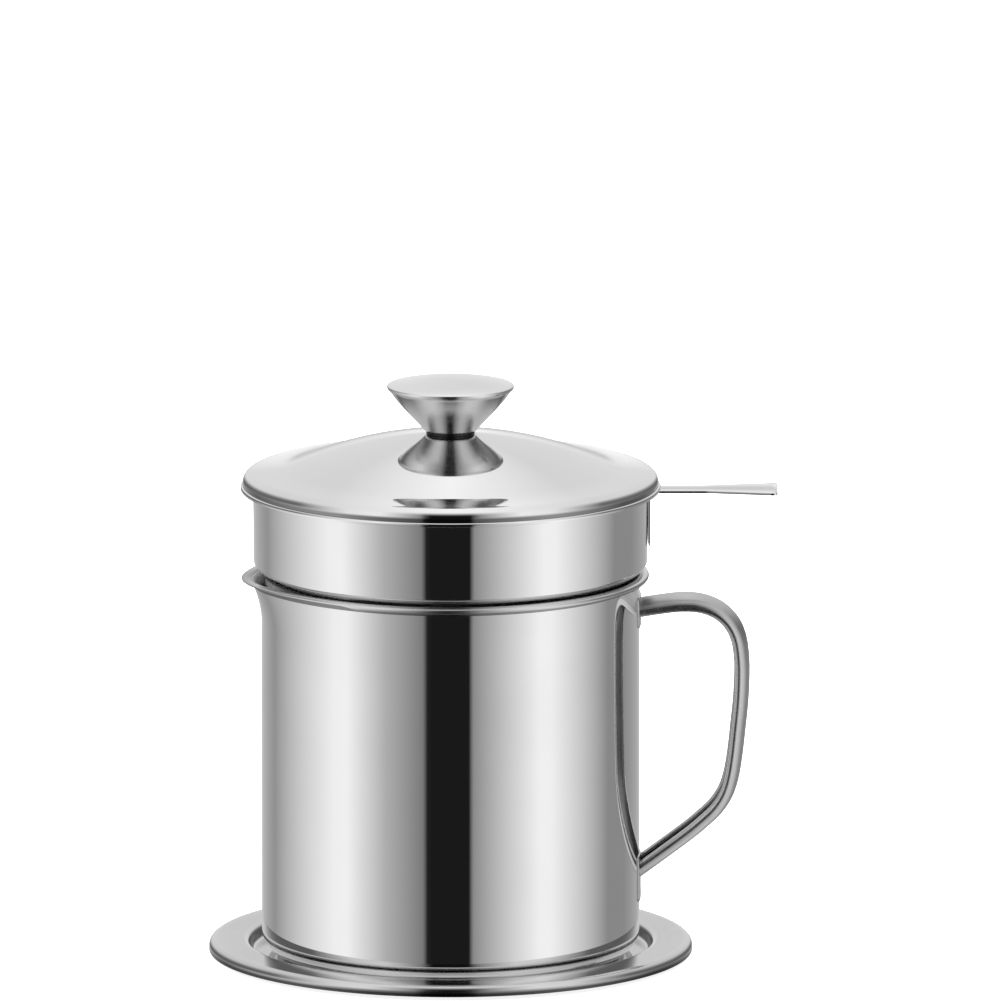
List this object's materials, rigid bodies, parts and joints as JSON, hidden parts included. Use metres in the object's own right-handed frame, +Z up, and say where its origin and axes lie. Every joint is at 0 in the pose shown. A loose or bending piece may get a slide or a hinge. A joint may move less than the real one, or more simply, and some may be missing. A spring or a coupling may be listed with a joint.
{
  "type": "grease container",
  "caption": "Cylindrical steel pot with pouring lip and strap handle, drop-in strainer with flat handle, domed lid with cone knob, and round drip tray.",
  "frame": {"origin": "on the pot's axis, in the surface that the drip tray stands on, at the middle of the tray's flat underside", "axes": "+Z up along the pot's axis and the way every piece lifts off, +X towards the two handles, -X towards the pouring lip, Y across the handles"},
  "size_m": [0.188, 0.16, 0.1917],
  "materials": {
    "tray_satin_steel": "satin",
    "pot_polished_steel": "mirror polished outside, brushed inside",
    "handle_polished_steel": "polished",
    "strainer_polished_steel": "mirror polished",
    "filter_steel": "fine perforated sheet",
    "lid_polished_steel": "mirror polished",
    "cap_satin_steel": "satin",
    "knob_polished_steel": "turned, polished",
    "neck_dark_steel": "dark, satin",
    "insert_brass": "turned",
    "screw_steel": "zinc plated"
  },
  "bodies": {
    "tray": {"drip_tray": "tray_satin_steel"},
    "pot": {"pot_body": "pot_polished_steel", "pot_handle": "handle_polished_steel", "handle_upper_foot": "handle_polished_steel", "handle_lower_foot": "handle_polished_steel"},
    "strainer": {"strainer_bowl": "strainer_polished_steel", "filter_plate": "filter_steel", "filter_clamp_ring": "filter_steel", "strainer_handle": "strainer_polished_steel"},
    "lid": {"lid_shell": "lid_polished_steel", "lid_skirt": "lid_polished_steel", "knob_neck_washer": "neck_dark_steel", "knob_cone": "knob_polished_steel", "knob_cap": "cap_satin_steel", "knob_threaded_insert": "insert_brass", "lid_screw": "screw_steel", "screw_washer": "screw_steel"}
  },
  "joints": [
    {"name": "pot_lift", "type": "slide", "parent": "tray", "child": "pot", "axis": [0, 0, 1], "range_m": [0, 0.0461]},
    {"name": "strainer_lift", "type": "slide", "parent": "pot", "child": "strainer", "axis": [0, 0, 1], "range_m": [0, 0.0325]},
    {"name": "lid_lift", "type": "slide", "parent": "strainer", "child": "lid", "axis": [0, 0, 1], "range_m": [0, 0.0432]}
  ]
}
